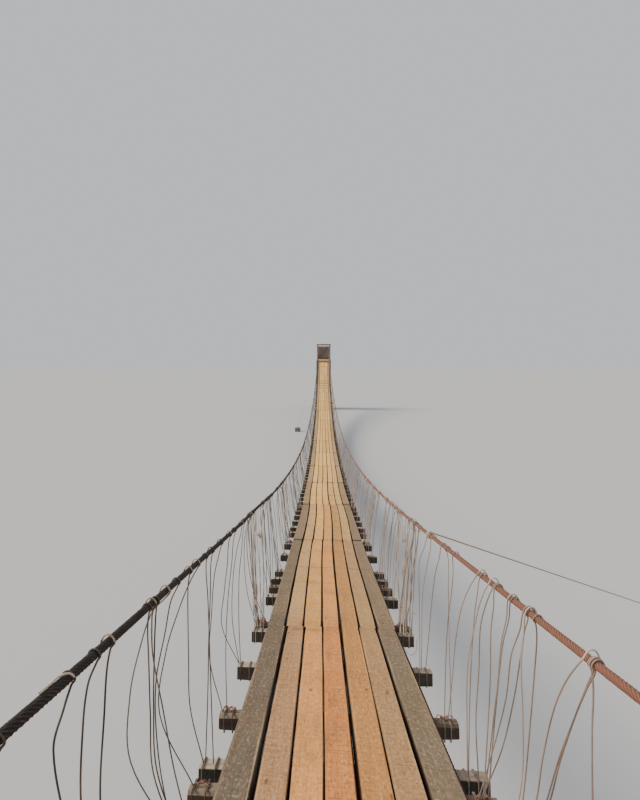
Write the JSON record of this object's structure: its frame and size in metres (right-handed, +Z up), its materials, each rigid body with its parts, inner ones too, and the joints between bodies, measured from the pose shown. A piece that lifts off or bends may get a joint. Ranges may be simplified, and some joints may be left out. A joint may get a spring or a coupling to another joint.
{
  "type": "suspension footbridge, 1:2 scale model",
  "caption": "Narrow plank-deck suspension footbridge hung by wire hangers from two wire ropes, with pipe portals and concrete anchor blocks at both ends.",
  "frame": {"origin": "middle of the near abutment's underside, on the ground", "axes": "+Y runs along the bridge from the near end to the far end, +X is to the right of a person walking that way, +Z is up"},
  "size_m": [4.635, 39.15, 3.79],
  "materials": {
    "board_wood": "sawn, sun-bleached",
    "beam_wood": "rough, weathered grey",
    "dark_rope": "dark, lightly rusted wire rope",
    "rusty_rope": "rusted wire rope",
    "rusty_steel": "rusted steel",
    "stay_wire": "dull galvanised wire",
    "concrete": "rough weathered concrete"
  },
  "bodies": {
    "root": {"abutment_far": "concrete", "abutment_near": "concrete", "anchor_block_far": "concrete", "anchor_block_near": "concrete", "crossbeams_01": "beam_wood", "crossbeams_02": "beam_wood", "crossbeams_03": "beam_wood", "crossbeams_04": "beam_wood", "crossbeams_05": "beam_wood", "crossbeams_06": "beam_wood", "crossbeams_07": "beam_wood", "crossbeams_08": "beam_wood", "crossbeams_09": "beam_wood", "deck_boards_01": "board_wood", "deck_boards_02": "board_wood", "deck_boards_03": "board_wood", "deck_boards_04": "board_wood", "deck_boards_05": "board_wood", "deck_boards_06": "board_wood", "deck_boards_07": "board_wood", "deck_boards_08": "board_wood", "deck_boards_09": "board_wood", "deck_boards_10": "board_wood", "deck_boards_11": "board_wood", "end_sill_far": "rusty_steel", "end_sill_near": "rusty_steel", "landing_far": "board_wood", "landing_near": "board_wood", "portal_lintel_far": "rusty_steel", "portal_lintel_near": "rusty_steel", "portal_post_far_left": "rusty_steel", "portal_post_far_right": "rusty_steel", "portal_post_near_left": "rusty_steel", "portal_post_near_right": "rusty_steel", "rope_and_hangers_left_far": "dark_rope", "rope_and_hangers_left_middle": "dark_rope", "rope_and_hangers_left_near": "dark_rope", "rope_and_hangers_right_far": "rusty_rope", "rope_and_hangers_right_middle": "rusty_rope", "rope_and_hangers_right_near": "rusty_rope", "side_stay_far_left": "stay_wire", "side_stay_near_right": "stay_wire", "stay_anchor_far_left": "concrete", "stay_anchor_near_right": "concrete"}
  },
  "joints": []
}
